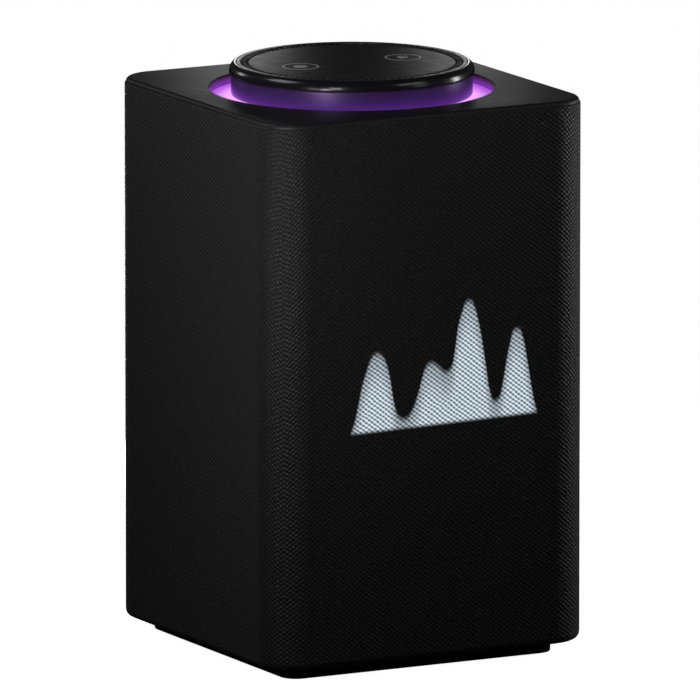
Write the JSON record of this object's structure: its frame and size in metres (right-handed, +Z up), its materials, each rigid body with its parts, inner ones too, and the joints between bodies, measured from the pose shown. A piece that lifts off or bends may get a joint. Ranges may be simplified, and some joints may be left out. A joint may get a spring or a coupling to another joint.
{
  "type": "smart speaker",
  "caption": "Square fabric-covered table speaker with a turning volume ring in a lit round well on top and a light matrix behind the front cloth.",
  "frame": {"origin": "centre of the foot's underside", "axes": "+Z up; the light matrix faces -Y; +X is to the right of someone facing the front"},
  "size_m": [0.141, 0.141, 0.231],
  "materials": {
    "fabric": "fine acoustic knit, near-black",
    "foot_rubber": "matte",
    "black_plastic": "fine moulded grain",
    "ring_gloss": "gloss wall with a satin chamfer",
    "disc_plastic": "fine matte grain",
    "trim_metal": "satin, dark anodised",
    "light_diffuser": "milky, lit violet",
    "display_diffuser": "milky",
    "white_plastic": "plain",
    "circuit_board": "solder mask",
    "steel": "plain",
    "magnet": "sintered ferrite",
    "heat_sink": "extruded",
    "cone_paper": "pressed paper",
    "surround_rubber": "matte",
    "coil_copper": "enamelled copper wire",
    "spider_cloth": "impregnated cloth",
    "dome_silk": "coated silk",
    "radiator_plate": "loaded polypropylene",
    "ribbon": "flat flexible cable"
  },
  "bodies": {
    "housing": {"action_switch": "steel", "audio_jack": "black_plastic", "base_plate": "black_plastic", "base_screw_1": "steel", "base_screw_2": "steel", "base_screw_3": "steel", "base_screw_4": "steel", "cabinet_front": "black_plastic", "cabinet_rear": "black_plastic", "control_core": "black_plastic", "display_board": "circuit_board", "display_diffuser": "display_diffuser", "display_frame": "white_plastic", "display_ribbon": "ribbon", "encoder_body": "steel", "fabric_sleeve": "fabric", "foot_pad": "foot_rubber", "grille_shell": "black_plastic", "heat_sink": "heat_sink", "light_diffuser": "light_diffuser", "light_tray": "white_plastic", "main_board": "circuit_board", "mic_board": "circuit_board", "mid_left_frame": "black_plastic", "mid_right_frame": "black_plastic", "mute_switch": "steel", "network_socket": "steel", "port_panel": "black_plastic", "power_jack": "black_plastic", "radiator_left_surround": "surround_rubber", "radiator_right_surround": "surround_rubber", "ring_led_board": "circuit_board", "shield_can": "steel", "slide_bearing": "white_plastic", "top_disc": "disc_plastic", "top_plate": "black_plastic", "trim_ring": "trim_metal", "tweeter_left_body": "black_plastic", "tweeter_right_body": "black_plastic", "vent_ring": "disc_plastic", "video_socket": "steel", "woofer_frame": "black_plastic", "woofer_front_plate": "steel", "woofer_magnet": "magnet", "woofer_spider": "spider_cloth", "woofer_surround": "surround_rubber", "woofer_yoke": "steel"},
    "volume_knob": {"volume_ring": "ring_gloss", "ring_gear": "white_plastic"},
    "encoder_rotor": {"encoder_pinion": "white_plastic"},
    "action_cap": {"action_button": "disc_plastic"},
    "mute_cap": {"mute_button": "disc_plastic"},
    "woofer_moving": {"woofer_cone": "cone_paper", "woofer_coil": "coil_copper"},
    "mid_left_moving": {"mid_left_cone": "cone_paper"},
    "mid_right_moving": {"mid_right_cone": "cone_paper"},
    "tweeter_left_moving": {"tweeter_left_dome": "dome_silk"},
    "tweeter_right_moving": {"tweeter_right_dome": "dome_silk"},
    "radiator_left_moving": {"radiator_left_plate": "radiator_plate"},
    "radiator_right_moving": {"radiator_right_plate": "radiator_plate"}
  },
  "joints": [
    {"name": "volume_turn", "type": "hinge", "parent": "housing", "child": "volume_knob", "pos_m": [0, 0, 0.2247], "axis": [0, 0, 1], "continuous": true},
    {"name": "encoder_turn", "type": "hinge", "parent": "housing", "child": "encoder_rotor", "pos_m": [0, 0.03312, 0.2225], "axis": [0, 0, 1], "continuous": true},
    {"name": "action_press", "type": "slide", "parent": "housing", "child": "action_cap", "axis": [0, 0, -1], "range_m": [0, 0.0004], "stiffness_N_per_m": 1200, "springref_m": -0.0002},
    {"name": "mute_press", "type": "slide", "parent": "housing", "child": "mute_cap", "axis": [0, 0, -1], "range_m": [0, 0.0004], "stiffness_N_per_m": 1200, "springref_m": -0.0002},
    {"name": "woofer_travel", "type": "slide", "parent": "housing", "child": "woofer_moving", "axis": [0, -1, 0], "range_m": [-0.003, 0.003], "stiffness_N_per_m": 1500, "deforming": ["woofer_surround", "woofer_spider"]},
    {"name": "mid_left_travel", "type": "slide", "parent": "housing", "child": "mid_left_moving", "axis": [0, -1, 0], "range_m": [-0.0008, 0.0008], "stiffness_N_per_m": 1800},
    {"name": "mid_right_travel", "type": "slide", "parent": "housing", "child": "mid_right_moving", "axis": [0, -1, 0], "range_m": [-0.0008, 0.0008], "stiffness_N_per_m": 1800},
    {"name": "tweeter_left_travel", "type": "slide", "parent": "housing", "child": "tweeter_left_moving", "axis": [0, -1, 0], "range_m": [-0.0003, 0.0003], "stiffness_N_per_m": 2000},
    {"name": "tweeter_right_travel", "type": "slide", "parent": "housing", "child": "tweeter_right_moving", "axis": [0, -1, 0], "range_m": [-0.0003, 0.0003], "stiffness_N_per_m": 2000},
    {"name": "radiator_left_travel", "type": "slide", "parent": "housing", "child": "radiator_left_moving", "axis": [-1, 0, 0], "range_m": [-0.004, 0.004], "stiffness_N_per_m": 900, "deforming": ["radiator_left_surround"]},
    {"name": "radiator_right_travel", "type": "slide", "parent": "housing", "child": "radiator_right_moving", "axis": [1, 0, 0], "range_m": [-0.004, 0.004], "stiffness_N_per_m": 900, "deforming": ["radiator_right_surround"]}
  ],
  "couplings": [
    {"joint": "encoder_turn", "follows": "volume_turn", "ratio": 5}
  ]
}
